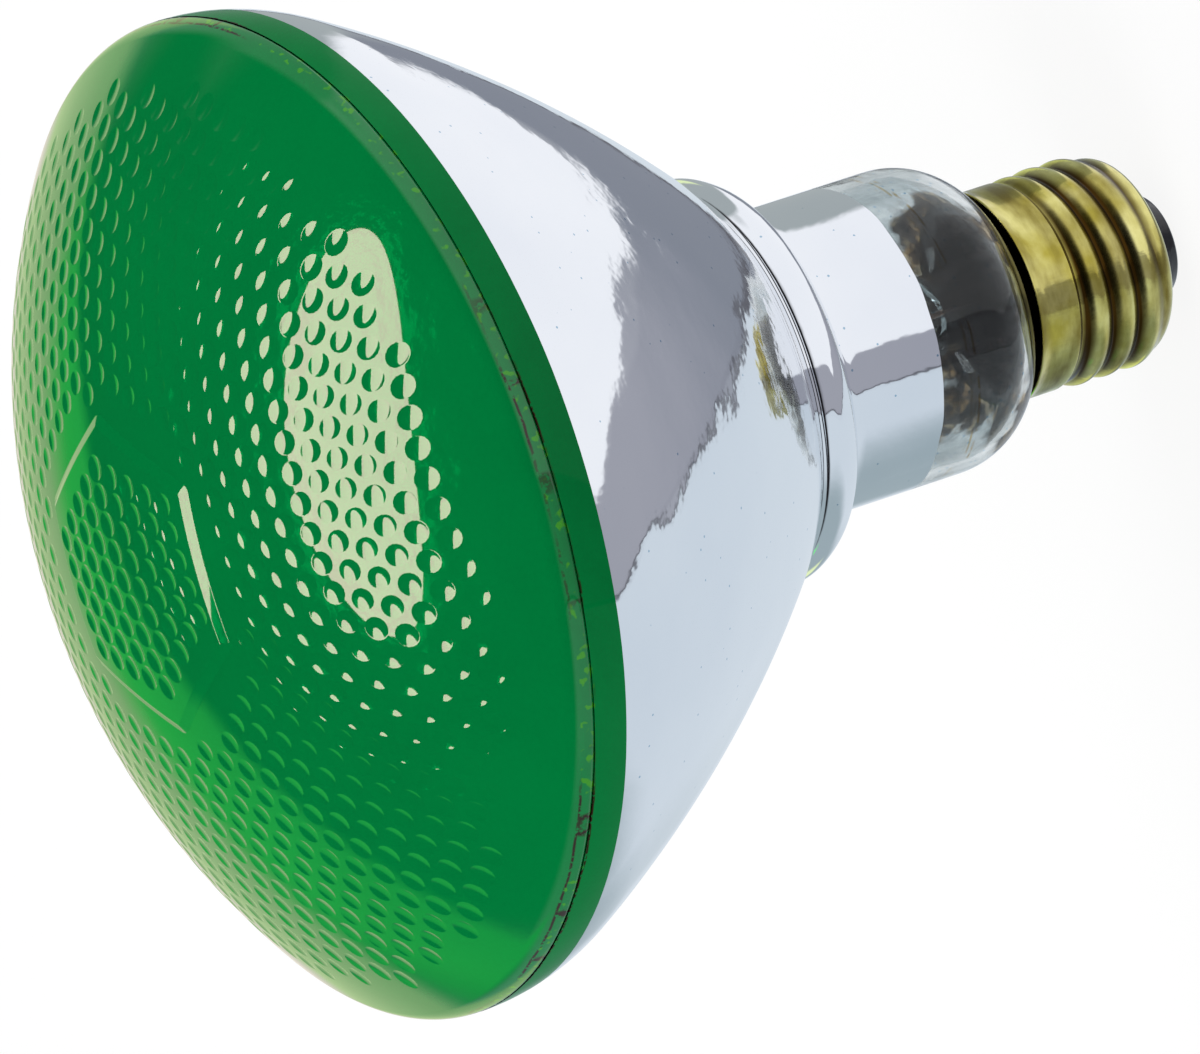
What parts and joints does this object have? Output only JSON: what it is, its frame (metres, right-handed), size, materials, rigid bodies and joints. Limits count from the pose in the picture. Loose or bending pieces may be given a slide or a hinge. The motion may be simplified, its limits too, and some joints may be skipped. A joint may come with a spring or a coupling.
{
  "type": "flood bulb",
  "caption": "Reflector flood lamp with a green dimpled lens, a mirrored glass bowl, a clear neck and a brass screw base.",
  "frame": {"origin": "tip of the centre contact, on the lamp's axis", "axes": "+Z along the lamp's axis, from the screw base to the lens; X along the rows of dimples on the lens"},
  "size_m": [0.1206, 0.1206, 0.1439],
  "materials": {
    "lens_coating": "deep green coat on clear pressed glass, glossy",
    "mirrored_glass": "clear blown glass, mirror coated inside down to the clear part of the neck",
    "shell_brass": "rolled sheet, tarnished in the thread",
    "black_glass": "moulded, glossy",
    "solder": "dull cast",
    "cement": "baked resin cement, rough",
    "clear_glass": "clear, drawn and pressed",
    "copper_wire": "bare drawn wire",
    "plated_wire": "nickel plated drawn wire",
    "tungsten": "dark coiled wire"
  },
  "bodies": {
    "root": {"lens": "lens_coating", "reflector": "mirrored_glass", "screw_shell": "shell_brass", "centre_contact": "shell_brass", "insulator": "black_glass", "contact_solder": "solder", "side_solder": "solder", "basing_cement": "cement", "stem": "clear_glass", "exhaust_tube": "clear_glass", "dumet_seal_left": "copper_wire", "dumet_seal_right": "copper_wire", "side_lead": "copper_wire", "centre_lead": "copper_wire", "fuse_link": "copper_wire", "inner_lead_left": "plated_wire", "inner_lead_right": "plated_wire", "support_wire_left": "plated_wire", "support_wire_right": "plated_wire", "filament": "tungsten"}
  },
  "joints": []
}
